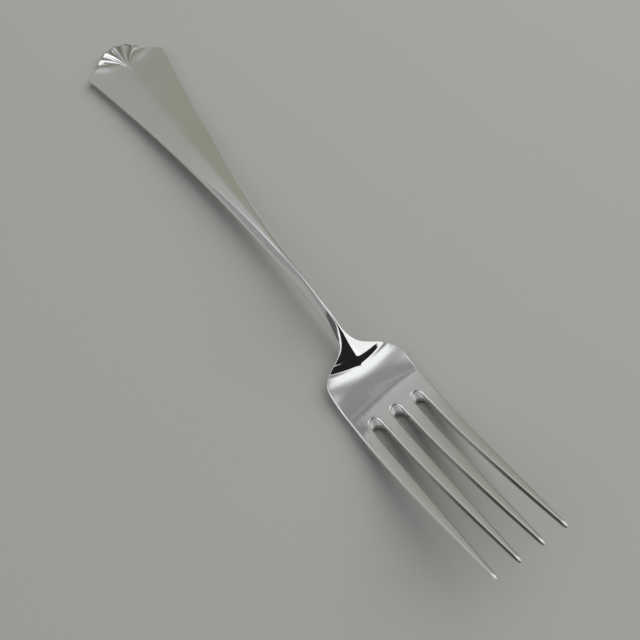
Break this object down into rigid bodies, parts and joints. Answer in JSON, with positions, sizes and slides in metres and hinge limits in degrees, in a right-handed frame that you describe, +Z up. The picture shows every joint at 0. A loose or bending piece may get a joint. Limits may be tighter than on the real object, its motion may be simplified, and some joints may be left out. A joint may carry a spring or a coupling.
{
  "type": "dinner fork",
  "caption": "Table fork in polished silver plate with a flat tapered handle, a fluted shell at its end, a slim arched stem and slender tines.",
  "frame": {"origin": "middle of the overall box in plan, on the table that the fork lies on", "axes": "+X from the shell towards the tine tips, +Y across the fork, +Z up with the tines curving upwards"},
  "size_m": [0.205, 0.0272, 0.0172],
  "materials": {
    "silver": "polished silver plate with fine scratches from use"
  },
  "bodies": {
    "root": {"handle": "silver", "shell": "silver", "stem": "silver", "palm": "silver", "tine_1": "silver", "tine_2": "silver", "tine_3": "silver", "tine_4": "silver"}
  },
  "joints": []
}
